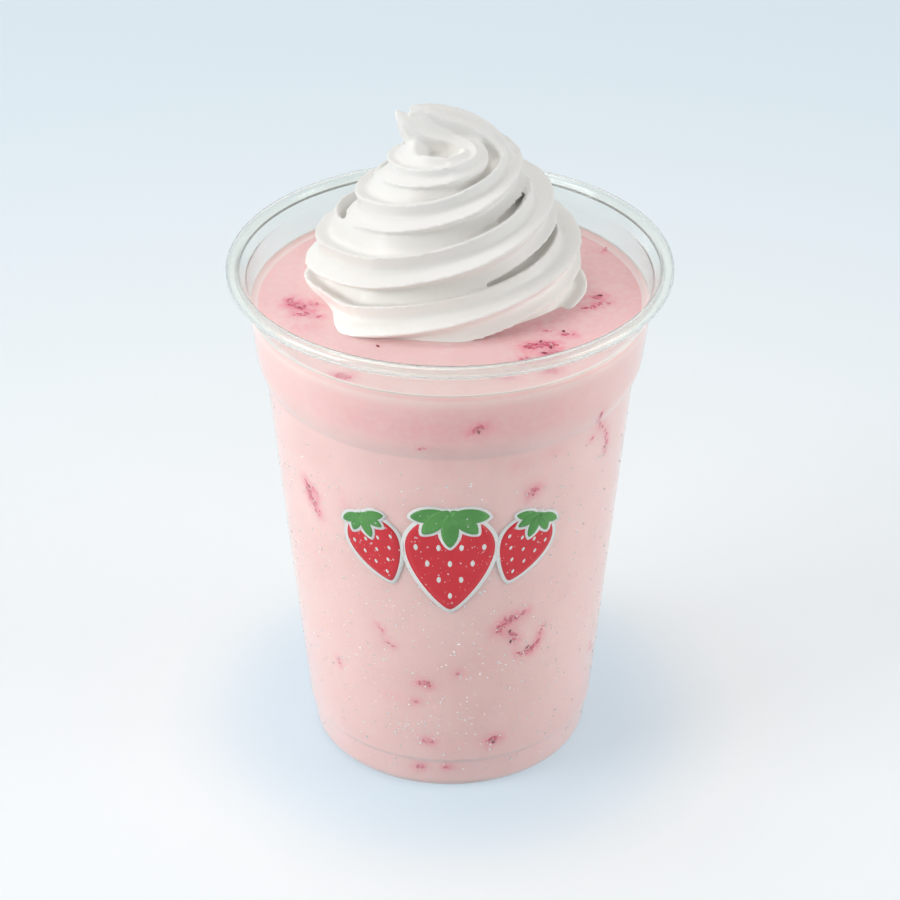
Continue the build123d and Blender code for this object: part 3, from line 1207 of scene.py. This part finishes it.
def dew_drop(angle, height, size, points, faces):
    """One drop: a low dome, a little taller than wide, set just outside the wall."""
    start = len(points)
    wall = wall_radius(height)
    for spread, lift in DEW_RINGS:
        for turn in full_turn(DEW_SIDES):
            dx, dy = size * spread * math.cos(turn), 1.12 * size * spread * math.sin(turn)
            points.append(on_wall(angle + math.degrees(dx / wall), height + dy, lift * size + DEW_OUT))
    points.append(on_wall(angle, height, DEW_TOP * size + DEW_OUT))
    last = len(DEW_RINGS) - 1
    faces += band_faces(start, last, DEW_SIDES)
    faces += fan_faces(start + last * DEW_SIDES, DEW_SIDES, len(points) - 1)
    faces.append(tuple(range(start, start + DEW_SIDES))[::-1])


# ======== stage ========
def area_light(name, place, power):
    """Square lamp that looks at the middle of the cup."""
    lamp = bpy.data.lights.new(name, "AREA")
    lamp.shape = "RECTANGLE"
    lamp.size, lamp.size_y = LAMP_SIDE, LAMP_SIDE
    lamp.energy = power
    holder = new_object(name, lamp)
    holder.location = place
    holder.rotation_euler = (Vector(LAMP_AIM) - Vector(place)).to_track_quat("-Z", "Y").to_euler()


def seen_or_through(tree):
    """One for rays from the camera, in reflections and through the plastic, and nought for the rest."""
    rays = tree.nodes.new("ShaderNodeLightPath")
    share = calculated(tree, "MAXIMUM", rays.outputs["Is Camera Ray"], rays.outputs["Is Glossy Ray"])
    return calculated(tree, "MAXIMUM", share, rays.outputs["Is Transmission Ray"])


def pale_floor():
    """Pale blue-white ground: seen directly it is partly its own colour, and it keeps the shadow; round the
    cup's foot its colour is darker and bluer, a painted soft shadow.
    """
    material = plain("pale_floor", (0.90, 0.95, 1.0), 0.9)
    tree = material.node_tree
    shader = shader_of(material)
    place = tree.nodes.new("ShaderNodeNewGeometry")
    away = tree.nodes.new("ShaderNodeVectorMath")
    away.operation = "LENGTH"
    fade = tree.nodes.new("ShaderNodeMapRange")
    fade.inputs["From Max"].default_value = FLOOR_FADE
    # the first stops paint a soft shadow round the cup's foot
    tint = tree.nodes.new("ShaderNodeValToRGB")
    stops = tint.color_ramp.elements
    tint.color_ramp.interpolation = "EASE"
    for stop, colour in FLOOR_TINTS_AND_SHADOW[1:-1]:
        stops.new(stop).color = (*colour, 1.0)
    stops[0].color = (*FLOOR_TINTS_AND_SHADOW[0][1], 1.0)
    stops[-1].color = (*FLOOR_TINTS_AND_SHADOW[-1][1], 1.0)
    glow = tree.nodes.new("ShaderNodeEmission")
    part = calculated(tree, "MULTIPLY", seen_or_through(tree), FLOOR_GLOW)
    mix = tree.nodes.new("ShaderNodeMixShader")
    link = tree.links.new
    link(place.outputs["Position"], away.inputs[0])
    link(away.outputs["Value"], fade.inputs["Value"])
    link(fade.outputs["Result"], tint.inputs["Fac"])
    link(tint.outputs["Color"], glow.inputs["Color"])
    link(tint.outputs["Color"], shader.inputs["Base Color"])
    link(part, mix.inputs[0])
    link(shader.outputs[0], mix.inputs[1])
    link(glow.outputs[0], mix.inputs[2])
    link(mix.outputs[0], tree.nodes["Material Output"].inputs["Surface"])
    return material


def light_world(tree):
    """Soft light all round; seen directly, in reflections or through the plastic it is nearly white."""
    background = tree.nodes["Background"]
    background.inputs["Color"].default_value = (0.97, 0.985, 1.0, 1.0)
    level = tree.nodes.new("ShaderNodeMapRange")
    set_values(level, {"To Min": WORLD_LIGHT, "To Max": WORLD_SEEN})
    tree.links.new(seen_or_through(tree), level.inputs["Value"])
    tree.links.new(level.outputs["Result"], background.inputs["Strength"])


def make_stage():
    half = FLOOR_HALF
    mesh = bpy.data.meshes.new("floor")
    corners = [(-half, -half, 0.0), (half, -half, 0.0), (half, half, 0.0), (-half, half, 0.0)]
    mesh.from_pydata(corners, [], [(0, 1, 2, 3)])
    floor = new_object("floor", mesh)
    mesh.materials.append(pale_floor())
    world = bpy.data.worlds.new("studio")
    bpy.context.scene.world = world
    world.use_nodes = True
    light_world(world.node_tree)
    for lamp in LAMPS:
        area_light(*lamp)


def make_camera():
    elevation = math.radians(CAMERA_ELEVATION)
    data = bpy.data.cameras.new("camera")
    data.lens = CAMERA_LENS
    data.sensor_width = CAMERA_SENSOR
    camera = new_object("camera", data)
    towards = Vector((0.0, -math.cos(elevation), math.sin(elevation)))
    camera.location = Vector(CAMERA_AIM) + towards * CAMERA_DISTANCE
    camera.rotation_euler = (math.pi / 2 - elevation, 0.0, 0.0)
    bpy.context.scene.camera = camera


bpy.context.scene.view_settings.view_transform = "Standard"
make_camera()
make_stage()
mottling = mottle_group()
make_cup(clear_plastic(mottling))
make_shake(shake_material(mottling))
make_swirl(cream_material(mottling))
make_fruit(fruit_material(mottling))
seed_colours = (0.16, 0.012, 0.03), (0.30, 0.03, 0.05)
make_seeds(finish("strawberry_seed", *seed_colours, 800.0, 2500.0, (0.25, 0.4), 0.3, mottling))
make_print(
    finish("print_red", (0.70, 0.014, 0.03), (0.62, 0.01, 0.024), 90.0, 1400.0, (0.28, 0.38), 0.15, mottling),
    finish("print_white", (0.80, 0.80, 0.77), (0.76, 0.76, 0.73), 90.0, 1400.0, (0.3, 0.4), 0.12, mottling),
    finish("print_leaf", (0.10, 0.34, 0.07), (0.06, 0.26, 0.05), 120.0, 1400.0, (0.3, 0.4), 0.15, mottling),
)
make_dew(water(mottling))
